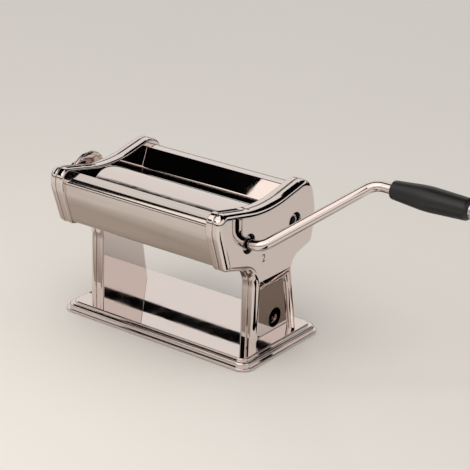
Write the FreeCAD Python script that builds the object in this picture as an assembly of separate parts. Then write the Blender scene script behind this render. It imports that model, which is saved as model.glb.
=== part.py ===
"""Hand-cranked pasta roller on a table base.

Two pressed side housings stand on a base plate and carry a pair of smooth sheet rollers, whose gap a knob
sets, and a pair of noodle cutters. A bent crank plugs into either pair. X runs along the rollers and +X is
the crank side, -Y is the front where the noodles come out, +Z is up. The origin is on the table, under the
middle of the base plate. Lengths are in millimetres.
"""
import FreeCAD
import Part
import math
import os

V = FreeCAD.Vector
ALONG_X = V(1, 0, 0)
UP = V(0, 0, 1)
LEFT, RIGHT = -1, 1

# Side housings: each is a side frame (inner pressing) closed by a cover (outer pressing)
SPAN = 195.0             # over the outer faces of the two covers
HOUSING = 16.8           # thickness of one housing
COVER_DEPTH = 8.5        # of the cover's rolled edge
SEAM = 0.8               # groove that shows between frame and cover
COVER_WALL = 1.2
FRAME_WALL = 1.5
LIP_WALL = 1.1           # lip of the frame that slides into the cover
LIP_REACH = 2.0
LIP_FIT = 0.1
COVER_ROUND = 6.0        # rounding of the cover's outer edge
FRAME_ROUND = 2.4        # rounding of the frame's inner edge
SEAM_ROUND = 0.9         # rounding of both edges at the groove
HOLE_COLLAR = 2.4        # depth of the drawn edge round the crank holes

# Base plate, in three tiers: lip, bead and deck
BASE_OVERHANG = 10.5     # of the base past the covers
BASE_DEPTH = 120.0
BASE_HEIGHT = 9.5
BASE_CORNER = 11.0
BASE_WALL = 1.2
TABLE_GAP = 0.8          # the rubber feet hold the lip this far off the table
LIP_HEIGHT = 3.0
BEAD_HEIGHT = 7.4
BEAD_INSET = 2.2
DECK_INSET = 6.4
LIP_ROUND = 1.0
BEAD_ROUND = 2.4
DECK_ROUND = 1.4
FOOT_RADIUS = 8.0
FOOT_INSET = 19.0        # from the ends and sides of the base to a foot's middle
FOOT_ROUND = 1.2

# Shafts: all four rollers lie at one height
SHAFT_HEIGHT = 117.5
SHEET_Y = 23.0           # drive sheet roller, with the rear crank socket
SHEET_DIAMETER = 29.0
GAP_WIDE = 3.0           # sheet thickness at the first and last knob positions
GAP_FINE = 0.3
CUTTER_DIAMETER = 21.0
CUTTER_OVERLAP = 1.0     # how deep the lands of one cutter enter the grooves of the other
CUTTER_ROOM = 0.5        # from the top of a land to the bottom of its groove
CUTTER_CLEAR = 0.85      # from the fork of the gap adjuster to the drive cutter's bush
NOODLE_WIDTH = 6.0
SIDE_PLAY = 0.15         # between the flank of a land and the groove it enters
ROLLER_CLEAR = 4.7       # from a roller's end face to the side frame
JOURNAL_RADIUS = 5.5
SOCKET_HUB_RADIUS = 7.0  # journal that holds a crank socket
RUNNING_FIT = 0.05
PRESS_FIT = 0.02
SHAFT_OVERRUN = 0.8      # shafts past the last piece on them
EDGE_ROUND = 0.5

# Gears in the right housing
GEAR_WIDTH = 7.0
GEAR_STANDOFF = 1.8      # from the side frame's web
PRESSURE_ANGLE = math.radians(25)
SHEET_TEETH = 12         # coarse teeth stay in mesh over the whole gap
CUTTER_TEETH = 16
BACKLASH = 0.35

# Crank socket and crank
CRANK_RADIUS = 4.8
SOCKET_PLAY = 0.1
SOCKET_DEPTH = 12.0
HEX_FLATS = 7.4
HEX_DEPTH = 8.0
HUB_RECESS = 3.0         # from the cover's face to the end of a socket hub
CRANK_HOLE_RADIUS = 9.3
CRANK_STANDOFF = 12.5    # from the cover's face to the first bend
CRANK_THROW = 95.0       # from the shaft to the grip
CRANK_TILT = math.radians(33)    # of the arm, outwards from the cover
CRANK_LEAN = math.radians(58)    # of the arm, from upright towards the rear
CRANK_BEND = 15.0
GRIP_LENGTH = 76.0
GRIP_RADIUS = 11.5
GRIP_SWELL = 34.0        # from the start of the grip to its widest place
GRIP_CURVE = 120.0       # radius of the barrel shape
GRIP_NECK = 8.3          # radius at the start
GRIP_TAIL = 9.7          # radius at the end
GRIP_ROUND = 4.0
GRIP_START = 18.0        # from the second bend to the grip
GRIP_PLAY = 0.1
SPINDLE_TAIL = 4.0       # spindle past the grip
WASHER_THICKNESS = 1.6

# Side outline: the head follows the shafts, the leg stands on the base
FRONT_REACH = 22.5       # from the idle cutter's axis to the bulging front edge
REAR_REACH = 37.5        # from the drive sheet roller's axis to the rear edge
BROW_RISE = 18.0         # where the front bulges most, above the shafts
BROW_ROUND = 25.0
FRONT_HORN_RISE = 37.2   # front top corner above the shafts
FRONT_HORN_SETBACK = 1.0
FRONT_HORN_ROUND = 9.0
DIP_RISE = 24.1          # corner that the saddle-shaped top edge rounds, above the shafts
DIP_SHIFT = 5.5          # of that corner towards the front
DIP_ROUND = 140.0
REAR_HORN_RISE = 39.1
REAR_HORN_SETBACK = 11.5
REAR_HORN_ROUND = 20.0
BULGE_RISE = 0.5         # where the rear bulges most, above the shafts
BULGE_ROUND = 60.0
BELLY_ROOM = 4.4         # from the front comb's sleeve to the lower front corner
BELLY_SINK = 0.6         # of that corner below the comb rod's screws
BELLY_ROUND = 8.0
KNEE_DROP = 30.5         # where the leg's front edge meets the head, below the shafts
KNEE_ROUND = 22.0
TAIL_DROP = 29.0         # lower rear corner of the head below the shafts
TAIL_SETBACK = 6.0
TAIL_ROUND = 7.5
HIP_DROP = 37.3          # where the leg's rear edge meets the head, below the shafts
HIP_ROUND = 12.0
LEG_FRONT = -33.0
LEG_REAR = 22.5          # at the head
LEG_REAR_FOOT = 36.0
COVE_DROP = 42.5         # lower edge of the cover's flat face, below the shafts
POCKET_DEPTH = 5.0       # of the panel pressed into the leg below that edge
COVE_FALL = 11.0         # height of the shoulder that slopes from that edge to the panel
COVE_ROUND = 4.0
FRONT_COLUMN = 5.0       # raised strips left at the leg's edges
REAR_COLUMN = 4.0
CLAMP_Y = 5.0
CLAMP_HEIGHT = 28.5
CLAMP_RADIUS = 9.5
CLAMP_COLLAR = 6.0

# Sheet panels between the side frames
PANEL_WALL = 0.9
PANEL_INSET = 2.4        # from the side frames' outline
RIM_HEIGHT = 29.0        # rims of the front and rear panel above the shafts
PANEL_SHOULDER = 6.5     # rounding from the front rim to the front face
PANEL_WAIST = 10.0       # where the front face bends, above the shafts
PANEL_BEND = 60.0        # radius of that bend
PANEL_HEM = 2.2          # turned in at the lower front edge
HEM_DROP = 0.6
RIM_SLOPE = 1.8          # fall of the front rim from the slot to the front
RIM_ROUND = 1.8
SLOT_LIP = 9.0           # down from the front rim into the cutter slot
CUTTER_SLOT = 5.6        # feed slot in front of the bridge plate
CUTTER_SLOT_SHIFT = 4.0  # of that slot in front of the cutters' nip
SHEET_SLOT = 7.6         # feed slot behind the bridge plate
SHEET_SLOT_SHIFT = 1.0   # of that slot behind the rollers' nip
BRIDGE_EDGE = 18.2       # edges of the bridge plate above the shafts
BRIDGE_RISE = 8.5        # of its crown over its edges
BRIDGE_CROWN = 70.0      # radius of its crown
BRIDGE_ROUND = 2.2
BRIDGE_FRONT_LIP = 5.5
BRIDGE_REAR_LIP = 3.0
HOPPER_CLEAR = 1.2       # from the hopper wall to the roller below it
HOPPER_LIP = 3.5         # upright part of the hopper wall
HOPPER_LEAN = 0.6
HOPPER_REACH = 17.0      # of the sloping part
HOPPER_ROUND = 3.0
REAR_RIM_RISE = 1.0      # of the rear rim over the front one
REAR_RIM_ROUND = 2.0
BACK_ROUND = 15.0
BACK_BULGE = 30.0
BACK_HEM = 8.0           # turned in at the lower rear edge
BACK_HEM_DROP = 2.1
BACK_HEM_ROUND = 2.6

# Tie rods, combs and scrapers
ROD_RADIUS = 3.0
SLEEVE_WALL = 1.2
STRIPPER_GAP = 0.4       # from a comb or scraper to its roller
STRIPPER_WALL = 2.0
COMB_OVERHANG = 2.0      # of a comb past the ends of its cutter
COMB_ARC = (72, 104)     # plate of a comb, in degrees below the nip
FINGER_ARC = (38, 90)
BLADE_ARC = (62, 92)     # blade of a scraper
ROD_SHIFT = 1.0          # of the rods of combs and scrapers, away from the nip
REAR_ROD_SHIFT = 22.5    # rear tie rod behind the drive roller
SCREW_RADIUS = 1.8
SCREW_HEAD_RADIUS = 3.1
SCREW_HEAD = 1.6
SCREW_BITE = 10.0
SCREW_PLAY = 0.1

# Gap adjuster: the knob turns a shaft whose two eccentrics move the bearing blocks in forks
ADJUSTER_RISE = 9.5      # above the shafts
ADJUSTER_RADIUS = 3.5
KNOB_TURN = math.radians(120)
ECCENTRIC_RADIUS = 5.4
FORK_PLAY = 0.2
FORK_ARM = 2.6
FORK_ROUND = 3.0
BLOCK_WALL = 3.4
BLOCK_BOSS = 8.5         # half the width of the boss that slides in the side frame
BLOCK_PLAY = 0.3
BLOCK_ROUND = 1.0
KNOB_RADIUS = 24.0       # of the dial disc
KNOB_START = 5.0         # from the left cover to the dial's rear rim
KNOB_DEPTH = 18.0
KNOB_RECESS = 1.2        # in the dial's rear face
KNOB_RIM = 3.4
DIAL_WALL = 3.4          # thickness of the dial at its rim
DIAL_ROUND = 1.3
DIAL_RISE = 1.2          # of the dial's front face towards the grip
KNOB_GRIP_RADIUS = 12.0
KNOB_NECK = 4.0          # fillet from the dial to the grip
KNOB_ROUND = 4.0
KNOB_TAPER = 1.0         # grip narrower at its front, all round
KNOB_DISH = 0.6
KNOB_DISH_CURVE = 12.0
KNOB_HUB = 5.0           # wall of the hub behind the knob
KNOB_HUB_REACH = 1.5     # of the hub past the rear rim
KNOB_SCREW_HEAD = 2.6
KNOB_SCREW_HEAD_RADIUS = 3.9

# Bushes and rings
BUSH_WALL = 1.6
BUSH_FLANGE = 1.0        # flange wider than the bush, all round
BUSH_TAIL = 0.5          # bush past the web
RING_WALL = 2.4
RING_THICKNESS = 1.0
RING_GAP = 0.3

# Leg fasteners
LEG_SCREW_INSET = 15.5   # from the front and rear of a leg's foot
LEG_SCREW_HEAD = 2.4
LEG_SCREW_HEAD_RADIUS = 3.8
LEG_SCREW_OVERRUN = 1.0
NUT_FLATS = 7.0
NUT_HEIGHT = 3.2
NUT_PLAY = 0.3           # from the web, which keeps the nut from turning

# Places that follow from these
half = SPAN / 2
base_length = SPAN + 2 * BASE_OVERHANG
frame_face = half - HOUSING
web_face = frame_face + FRAME_WALL
cover_rim = half - COVER_DEPTH
frame_rim = cover_rim - SEAM
flange_wall = COVER_WALL + LIP_FIT + LIP_WALL
roller_end = frame_face - ROLLER_CLEAR
gear_start = web_face + GEAR_STANDOFF
gear_end = gear_start + GEAR_WIDTH
hub_end = half - HUB_RECESS
block_face = frame_face - BLOCK_PLAY
deck_ceiling = BASE_HEIGHT - BASE_WALL
cove_z = SHAFT_HEIGHT - COVE_DROP
rim_z = SHAFT_HEIGHT + RIM_HEIGHT
rod_sleeve = ROD_RADIUS + SLEEVE_WALL

sheet_radius = SHEET_DIAMETER / 2
travel = GAP_WIDE - GAP_FINE
wide_y = SHEET_Y - SHEET_DIAMETER - GAP_WIDE
fine_y = wide_y + travel
sheet_nip_y = SHEET_Y - sheet_radius - GAP_WIDE / 2

adjuster_y = wide_y - sheet_radius - ADJUSTER_RADIUS
adjuster_z = SHAFT_HEIGHT + ADJUSTER_RISE
eccentric_throw = travel / 2 / math.sin(KNOB_TURN / 2)
fork_slot = ECCENTRIC_RADIUS + FORK_PLAY
fork_front = adjuster_y - travel / 2 - fork_slot - FORK_ARM

cutter_radius = CUTTER_DIAMETER / 2
cutter_centres = CUTTER_DIAMETER - CUTTER_OVERLAP
groove_radius = cutter_radius - CUTTER_OVERLAP - CUTTER_ROOM
drive_cutter_y = fork_front - CUTTER_CLEAR - SOCKET_HUB_RADIUS - BUSH_WALL - BUSH_FLANGE
idle_y = drive_cutter_y - cutter_centres
cutter_nip_y = (drive_cutter_y + idle_y) / 2
cutter_slot_rear = cutter_nip_y - CUTTER_SLOT_SHIFT
cutter_slot_front = cutter_slot_rear - CUTTER_SLOT
sheet_slot_front = sheet_nip_y + SHEET_SLOT_SHIFT - SHEET_SLOT / 2
sheet_slot_rear = sheet_slot_front + SHEET_SLOT

comb_rod_z = SHAFT_HEIGHT - cutter_radius - STRIPPER_GAP - rod_sleeve
scraper_rod_z = SHAFT_HEIGHT - sheet_radius - STRIPPER_GAP - rod_sleeve
front_y = idle_y - FRONT_REACH
rear_y = SHEET_Y + REAR_REACH
belly_y = idle_y - ROD_SHIFT - rod_sleeve - BELLY_ROOM
belly_z = comb_rod_z - SCREW_HEAD_RADIUS - BELLY_SINK
dip_y = (front_y + rear_y) / 2 - DIP_SHIFT

# Side outline as (y, z, corner radius), from the leg's front foot up round the head to its rear foot
OUTLINE = [
    (LEG_FRONT, BASE_HEIGHT, 0),
    (LEG_FRONT, SHAFT_HEIGHT - KNEE_DROP, KNEE_ROUND),
    (belly_y, belly_z, BELLY_ROUND),
    (front_y, SHAFT_HEIGHT + BROW_RISE, BROW_ROUND),
    (front_y + FRONT_HORN_SETBACK, SHAFT_HEIGHT + FRONT_HORN_RISE, FRONT_HORN_ROUND),
    (dip_y, SHAFT_HEIGHT + DIP_RISE, DIP_ROUND),
    (rear_y - REAR_HORN_SETBACK, SHAFT_HEIGHT + REAR_HORN_RISE, REAR_HORN_ROUND),
    (rear_y, SHAFT_HEIGHT + BULGE_RISE, BULGE_ROUND),
    (rear_y - TAIL_SETBACK, SHAFT_HEIGHT - TAIL_DROP, TAIL_ROUND),
    (LEG_REAR, SHAFT_HEIGHT - HIP_DROP, HIP_ROUND),
    (LEG_REAR_FOOT, BASE_HEIGHT, 0),
]
BELLY, BROW, FRONT_HORN, REAR_HORN, TAIL_BULGE, TAIL = 2, 3, 4, 6, 7, 8


def rounded_edges(corners, closed):
    """Edges through (point, radius) corners, with an arc tangent to both sides in place of each corner."""
    count = len(corners)
    spans = []
    for i, (point, radius) in enumerate(corners):
        if radius == 0:
            spans.append((point, None, point))
            continue
        back = (corners[i - 1][0] - point).normalize()
        ahead = (corners[(i + 1) % count][0] - point).normalize()
        half_angle = back.getAngle(ahead) / 2
        cut = radius / math.tan(half_angle)
        middle = point + (back + ahead).normalize() * (radius / math.sin(half_angle) - radius)
        spans.append((point + back * cut, middle, point + ahead * cut))
    edges = []
    for i, (start, middle, end) in enumerate(spans):
        if middle is not None:
            edges.append(Part.Arc(start, middle, end).toShape())
        if closed or i + 1 < count:
            following = spans[(i + 1) % count][0]
            if (following - end).Length > 1e-6:
                edges.append(Part.makeLine(end, following))
    return edges


def face_in(corners, place):
    """Flat face inside rounded (u, v, radius) corners; place turns u and v into a point."""
    return Part.Face(Part.Wire(rounded_edges([(place(u, v), r) for u, v, r in corners], True)))


def prism(corners, x0, x1):
    """Solid along X on an outline of (y, z, radius) corners."""
    return face_in(corners, lambda y, z: V(x0, y, z)).extrude(V(x1 - x0, 0, 0))


def slab(corners, z0, z1):
    """Solid along Z on an outline of (x, y, radius) corners."""
    return face_in(corners, lambda x, y: V(x, y, z0)).extrude(V(0, 0, z1 - z0))


def turned(corners, y, z):
    """Solid of revolution about the line along X at y, z, from (x, distance, radius) corners."""
    return face_in(corners, lambda x, r: V(x, y, z + r)).revolve(V(0, y, z), ALONG_X, 360)


def bar(x0, x1, y, z, radius):
    """Round bar along X."""
    return Part.makeCylinder(radius, abs(x1 - x0), V(min(x0, x1), y, z), ALONG_X)


def hexagon(flats, u, v):
    """Corners of a hexagon of a width across flats, two of them square to u."""
    reach = flats / math.sqrt(3)
    angles = [math.radians(60 * i + 30) for i in range(6)]
    return [(u + reach * math.cos(a), v + reach * math.sin(a), 0) for a in angles]


def rectangle(length, depth, radius):
    """Corners of a rectangle about the origin."""
    x, y = length / 2, depth / 2
    return [(-x, -y, radius), (x, -y, radius), (x, y, radius), (-x, y, radius)]


def upright(y0, y1, z0, z1, radius):
    """Corners of a rectangle between two depths and two heights."""
    return [(y0, z0, radius), (y1, z0, radius), (y1, z1, radius), (y0, z1, radius)]


def shifted(corners, distance, closed=True):
    """Move the sides of an outline to their left by distance, and the corner radii with them."""
    count = len(corners)
    moved = []
    for i, (u, v, radius) in enumerate(corners):
        before = corners[i - 1] if closed or i > 0 else None
        after = corners[(i + 1) % count] if closed or i + 1 < count else None
        ways = []
        if before is not None:
            ways.append(V(u - before[0], v - before[1], 0).normalize())
        if after is not None:
            ways.append(V(after[0] - u, after[1] - v, 0).normalize())
        normals = [V(-way.y, way.x, 0) for way in ways]
        first, last = normals[0], normals[-1]
        step = (first + last) * (distance / (1 + first.dot(last)))
        turn = ways[0].cross(ways[-1]).z
        if radius > 0:
            radius = max(radius - math.copysign(1, turn) * distance, 0)
        moved.append((u + step.x, v + step.y, radius))
    return moved


def inset(distance):
    """Side outline moved inwards; it runs clockwise, so inwards is to its right."""
    return shifted(OUTLINE, -distance)


def sheet(path, x0, x1):
    """Bent sheet along X on an open path of (y, z, radius) corners, its wall to the right of the path."""
    far = shifted(path, -PANEL_WALL, closed=False)
    near_edges = rounded_edges([(V(x0, y, z), r) for y, z, r in path], False)
    far_edges = rounded_edges([(V(x0, y, z), r) for y, z, r in far], False)
    caps = [Part.makeLine(V(x0, *path[i][:2]), V(x0, *far[i][:2])) for i in (0, -1)]
    outline = Part.Wire(Part.__sortEdges__(near_edges + far_edges + caps))
    return Part.Face(outline).extrude(V(x1 - x0, 0, 0))


def rim_edges(solid, axis, level):
    """Edges that lie wholly in the plane where the axis reads level."""
    return [e for e in solid.Edges if all(abs(getattr(v.Point, axis) - level) < 1e-4 for v in e.Vertexes)]


def rounded(solid, axis, level, radius):
    """Round the edges of a solid in one plane."""
    return solid.makeFillet(radius, rim_edges(solid, axis, level))


def rolled(solid, x, radius):
    """Round the rim of a side pressing in one plane, all but the straight edge at its foot."""
    foot = rim_edges(solid, "z", BASE_HEIGHT)
    rim = [e for e in rim_edges(solid, "x", x) if not any(e.isSame(other) for other in foot)]
    return solid.makeFillet(radius, rim)


def fused(solids):
    """One solid from several that touch."""
    return solids[0].fuse(solids[1:]).removeSplitter()


def bored(solid, y, z, radius):
    """Solid with a round hole right through it along X."""
    reach = 2 * SPAN
    return solid.cut(bar(-reach, reach, y, z, radius))


# Base

def base_plate():
    """Pressed pan in three tiers, open underneath, drilled for the leg screws."""
    tiers = [
        (0, LIP_HEIGHT, LIP_ROUND),
        (BEAD_INSET, BEAD_HEIGHT, BEAD_ROUND),
        (DECK_INSET, BASE_HEIGHT, DECK_ROUND),
    ]
    solids = []
    hollows = []
    for step, height, round_off in tiers:
        corner = BASE_CORNER - step / 2
        plan = rectangle(base_length - 2 * step, BASE_DEPTH - 2 * step, corner)
        solids.append(rounded(slab(plan, TABLE_GAP, height), "z", height, round_off))
        inner = step + BASE_WALL
        plan = rectangle(base_length - 2 * inner, BASE_DEPTH - 2 * inner, corner - BASE_WALL)
        hollows.append(slab(plan, 0, height - BASE_WALL))
    plate = fused(solids).cut(fused(hollows))
    for x, y in leg_screw_places():
        plate = plate.cut(Part.makeCylinder(SCREW_RADIUS + SCREW_PLAY, 2 * BASE_HEIGHT, V(x, y, 0), UP))
    return plate


def base_feet():
    """Four rubber feet under the deck."""
    x = base_length / 2 - FOOT_INSET
    y = BASE_DEPTH / 2 - FOOT_INSET
    feet = []
    for side in (LEFT, RIGHT):
        for end in (-1, 1):
            foot = Part.makeCylinder(FOOT_RADIUS, deck_ceiling, V(side * x, end * y, 0), UP)
            feet.append(rounded(foot, "z", 0, FOOT_ROUND))
    return Part.makeCompound(feet)


def leg_screw_places():
    """Where the screws come up through the deck into the legs."""
    x = web_face + NUT_PLAY + NUT_FLATS / 2
    ends = (LEG_FRONT + LEG_SCREW_INSET, LEG_REAR_FOOT - LEG_SCREW_INSET)
    return [(side * x, y) for side in (LEFT, RIGHT) for y in ends]


def leg_screws():
    """Pan-head screws from under the deck."""
    length = BASE_WALL + flange_wall + NUT_HEIGHT + LEG_SCREW_OVERRUN
    screws = []
    for x, y in leg_screw_places():
        head_z = deck_ceiling - LEG_SCREW_HEAD
        head = Part.makeCylinder(LEG_SCREW_HEAD_RADIUS, LEG_SCREW_HEAD, V(x, y, head_z), UP)
        shank = Part.makeCylinder(SCREW_RADIUS, length, V(x, y, deck_ceiling), UP)
        screws.append(rounded(head, "z", head_z, LEG_SCREW_HEAD / 2).fuse(shank))
    return Part.makeCompound(screws)


def leg_nuts():
    """Nuts on those screws, inside the legs."""
    seat = BASE_HEIGHT + flange_wall
    nuts = []
    for x, y in leg_screw_places():
        nut = slab(hexagon(NUT_FLATS, x, y), seat, seat + NUT_HEIGHT)
        nuts.append(nut.cut(Part.makeCylinder(SCREW_RADIUS, seat + 2 * NUT_HEIGHT, V(x, y, 0), UP)))
    return Part.makeCompound(nuts)


# Side housings

def side_frame(side):
    """Inner pressing: web, rolled edge and the lip that the cover slides over."""
    shell = prism(OUTLINE, side * frame_face, side * frame_rim)
    shell = rolled(rolled(shell, side * frame_face, FRAME_ROUND), side * frame_rim, SEAM_ROUND)
    lip = prism(inset(COVER_WALL + LIP_FIT), side * frame_rim, side * (cover_rim + LIP_REACH))
    frame = shell.fuse(lip).cut(prism(inset(flange_wall), side * web_face, side * half))
    for y, z, radius in bush_places(side):
        frame = bored(frame, y, z, radius + BUSH_WALL + PRESS_FIT)
    for y, z in rod_places().values():
        frame = bored(frame, y, z, SCREW_RADIUS + SCREW_PLAY)
    front = wide_y - BLOCK_BOSS - BLOCK_PLAY
    rear = fine_y + BLOCK_BOSS + BLOCK_PLAY
    rise = BLOCK_BOSS + RUNNING_FIT
    window = upright(front, rear, SHAFT_HEIGHT - rise, SHAFT_HEIGHT + rise, 0)
    frame = frame.cut(prism(window, side * (frame_face - FRAME_WALL), side * (web_face + FRAME_WALL)))
    for x, y in leg_screw_places():
        frame = frame.cut(Part.makeCylinder(SCREW_RADIUS + SCREW_PLAY, 4 * BASE_HEIGHT, V(x, y, 0), UP))
    return frame.removeSplitter()


def leg_rear(z):
    """Rear edge of the leg at a height."""
    top = OUTLINE[TAIL + 1][1]
    return LEG_REAR + (LEG_REAR_FOOT - LEG_REAR) * (top - z) / (top - BASE_HEIGHT)


def leg_pocket(side, wall):
    """Panel pressed into the leg, open at the foot; wall grows it for the inside of the sheet."""
    low = BASE_HEIGHT - 2 * COVE_ROUND
    high = cove_z + COVE_FALL
    front = LEG_FRONT + FRONT_COLUMN - wall
    corners = [
        (front, low, 0),
        (leg_rear(low) - REAR_COLUMN + wall, low, 0),
        (leg_rear(high) - REAR_COLUMN + wall, high, 0),
        (front, high, 0),
    ]
    floor = side * (half - POCKET_DEPTH - wall)
    pocket = prism(corners, floor, side * (half + COVER_DEPTH))
    slope = V(POCKET_DEPTH, 0, COVE_FALL).normalize()
    inward = V(-COVE_FALL, 0, POCKET_DEPTH).normalize()
    edge = V(half, 0, cove_z) + inward * wall
    ends = [edge - slope * (2 * COVE_FALL), edge + slope * (2 * COVE_FALL)]
    brow = [*ends, ends[1] + inward * (2 * COVE_FALL), ends[0] + inward * (2 * COVE_FALL)]
    wedge = face_in([(p.x, p.z, 0) for p in brow], lambda x, z: V(side * x, LEG_FRONT, z))
    pocket = pocket.cut(wedge.extrude(V(0, LEG_REAR_FOOT - LEG_FRONT, 0)))
    return rounded(pocket, "x", floor, COVE_ROUND + wall)


def side_cover(side):
    """Outer pressing: flat head, rounded edge, recessed leg and the holes of its side."""
    inner_face = half - COVER_WALL
    outer = rolled(prism(OUTLINE, side * cover_rim, side * half), side * half, COVER_ROUND)
    outer = rolled(outer, side * cover_rim, SEAM_ROUND)
    hollow = prism(inset(COVER_WALL), side * cover_rim, side * inner_face)
    hollow = rounded(hollow, "x", side * inner_face, COVER_ROUND - COVER_WALL)
    cover = outer.cut(leg_pocket(side, 0)).cut(hollow.cut(leg_pocket(side, COVER_WALL)))
    leg_face = half - POCKET_DEPTH
    holes = [(CLAMP_Y, CLAMP_HEIGHT, CLAMP_RADIUS, leg_face, CLAMP_COLLAR)]
    if side == RIGHT:
        for y in (drive_cutter_y, SHEET_Y):
            holes.append((y, SHAFT_HEIGHT, CRANK_HOLE_RADIUS, half, COVER_WALL + HOLE_COLLAR))
    for y, z, radius, face, depth in holes:
        collar = bar(side * (face - depth), side * (face - COVER_WALL / 2), y, z, radius + COVER_WALL)
        cover = bored(cover.fuse(collar), y, z, radius)
    if side == LEFT:
        cover = bored(cover, adjuster_y, adjuster_z, ADJUSTER_RADIUS + BUSH_WALL + PRESS_FIT)
    return cover.removeSplitter()


# Panels

def front_panel():
    """Sheet from the cutter slot over the front rim and down the front, turned in at its lower edge."""
    edge = inset(PANEL_INSET)
    brow, horn, belly = edge[BROW], edge[FRONT_HORN], edge[BELLY]
    waist_z = SHAFT_HEIGHT + PANEL_WAIST
    waist_y = belly[0] + (brow[0] - belly[0]) * (waist_z - belly[1]) / (brow[1] - belly[1])
    front_z = rim_z - RIM_SLOPE
    front = brow[0] + (horn[0] - brow[0]) * (front_z - brow[1]) / (horn[1] - brow[1])
    path = [
        (belly[0] + PANEL_HEM, belly[1] - HEM_DROP, 0),
        (belly[0], belly[1], PANEL_HEM),
        (waist_y, waist_z, PANEL_BEND),
        (front, front_z, PANEL_SHOULDER),
        (cutter_slot_front, rim_z, RIM_ROUND),
        (cutter_slot_front, rim_z - SLOT_LIP, 0),
    ]
    return sheet(path, -frame_face, frame_face)


def bridge_plate():
    """Crowned plate between the two feed slots, its edges turned down."""
    edge_z = SHAFT_HEIGHT + BRIDGE_EDGE
    middle = (cutter_slot_rear + sheet_slot_front) / 2
    path = [
        (cutter_slot_rear, edge_z - BRIDGE_FRONT_LIP, 0),
        (cutter_slot_rear, edge_z, BRIDGE_ROUND),
        (middle, edge_z + BRIDGE_RISE, BRIDGE_CROWN),
        (sheet_slot_front, edge_z, BRIDGE_ROUND),
        (sheet_slot_front, edge_z - BRIDGE_REAR_LIP, 0),
    ]
    return sheet(path, -frame_face, frame_face)


def rear_panel():
    """Sheet from the sheet slot up the hopper wall, over the rear rim and down the back."""
    edge = inset(PANEL_INSET)
    bulge, tail = edge[TAIL_BULGE], edge[TAIL]
    lip_y = sheet_slot_rear + HOPPER_LEAN
    below = math.sqrt(sheet_radius ** 2 - (SHEET_Y - lip_y - PANEL_WALL) ** 2)
    lip_z = SHAFT_HEIGHT + below + HOPPER_CLEAR
    top_z = rim_z + REAR_RIM_RISE
    path = [
        (lip_y, lip_z, 0),
        (sheet_slot_rear, lip_z + HOPPER_LIP, HOPPER_ROUND),
        (sheet_slot_rear + HOPPER_REACH, top_z, REAR_RIM_ROUND),
        (edge[REAR_HORN][0], top_z, BACK_ROUND),
        (bulge[0], bulge[1], BACK_BULGE),
        (tail[0], tail[1], BACK_HEM_ROUND),
        (tail[0] - BACK_HEM, tail[1] - BACK_HEM_DROP, 0),
    ]
    return sheet(path, -frame_face, frame_face)


# Tie rods, combs and scrapers

def rod_places():
    """Tie rods as (y, z), by the piece that each carries."""
    return {
        "tie_rod_front_comb": (idle_y - ROD_SHIFT, comb_rod_z),
        "tie_rod_rear_comb": (drive_cutter_y + ROD_SHIFT, comb_rod_z),
        "tie_rod_front_scraper": (fine_y - ROD_SHIFT, scraper_rod_z),
        "tie_rod_rear_scraper": (SHEET_Y + ROD_SHIFT, scraper_rod_z),
        "tie_rod_rear": (SHEET_Y + REAR_ROD_SHIFT, SHAFT_HEIGHT),
    }


def tie_rod(y, z):
    """Rod between the side frames, drilled at both ends for its screws."""
    rod = bar(-frame_face, frame_face, y, z, ROD_RADIUS)
    for side in (LEFT, RIGHT):
        rod = rod.cut(bar(side * frame_face, side * (frame_face - SCREW_BITE), y, z, SCREW_RADIUS))
    return rod


def tie_rod_screws():
    """Screws through the webs into the tie rods, with their heads in the housings."""
    screws = []
    for y, z in rod_places().values():
        for side in (LEFT, RIGHT):
            head = bar(side * web_face, side * (web_face + SCREW_HEAD), y, z, SCREW_HEAD_RADIUS)
            head = rounded(head, "x", side * (web_face + SCREW_HEAD), SCREW_HEAD / 2)
            shank = bar(side * web_face, side * (frame_face - SCREW_BITE), y, z, SCREW_RADIUS)
            screws.append(head.fuse(shank))
    return Part.makeCompound(screws)


def arc_plate(axis_y, nip, radii, angles, x0, x1):
    """Curved plate about a roller's axis; its angles run downwards from the side where the nip lies."""
    def at(radius, angle):
        turn = math.radians(angle)
        return V(x0, axis_y + nip * radius * math.cos(turn), SHAFT_HEIGHT - radius * math.sin(turn))
    middle = sum(angles) / 2
    inner = Part.Arc(at(radii[0], angles[0]), at(radii[0], middle), at(radii[0], angles[1])).toShape()
    outer = Part.Arc(at(radii[1], angles[1]), at(radii[1], middle), at(radii[1], angles[0])).toShape()
    root = Part.makeLine(at(radii[0], angles[1]), at(radii[1], angles[1]))
    tip = Part.makeLine(at(radii[1], angles[0]), at(radii[0], angles[0]))
    return Part.Face(Part.Wire([inner, root, outer, tip])).extrude(V(x1 - x0, 0, 0))


def land_spans(parity):
    """Ends along X of every other strip: even ones are lands of the drive cutter, odd ones of the idle."""
    count = int(2 * roller_end / NOODLE_WIDTH)
    start = -NOODLE_WIDTH * count / 2
    return [(start + NOODLE_WIDTH * i, start + NOODLE_WIDTH * (i + 1)) for i in range(parity, count, 2)]


def comb(axis_y, nip, rod, grooves):
    """Comb on its tie rod: a sleeve, a plate under the cutter and a finger in each groove."""
    length = roller_end + COMB_OVERHANG
    plate_radii = (cutter_radius + STRIPPER_GAP, cutter_radius + STRIPPER_GAP + STRIPPER_WALL)
    finger_radii = (groove_radius + STRIPPER_GAP, plate_radii[1])
    pieces = [
        bar(-length, length, rod[0], rod[1], rod_sleeve),
        arc_plate(axis_y, nip, plate_radii, COMB_ARC, -length, length),
    ]
    for x0, x1 in grooves:
        margin = 4 * SIDE_PLAY
        pieces.append(arc_plate(axis_y, nip, finger_radii, FINGER_ARC, x0 + margin, x1 - margin))
    return bored(fused(pieces), rod[0], rod[1], ROD_RADIUS + PRESS_FIT)


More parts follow.
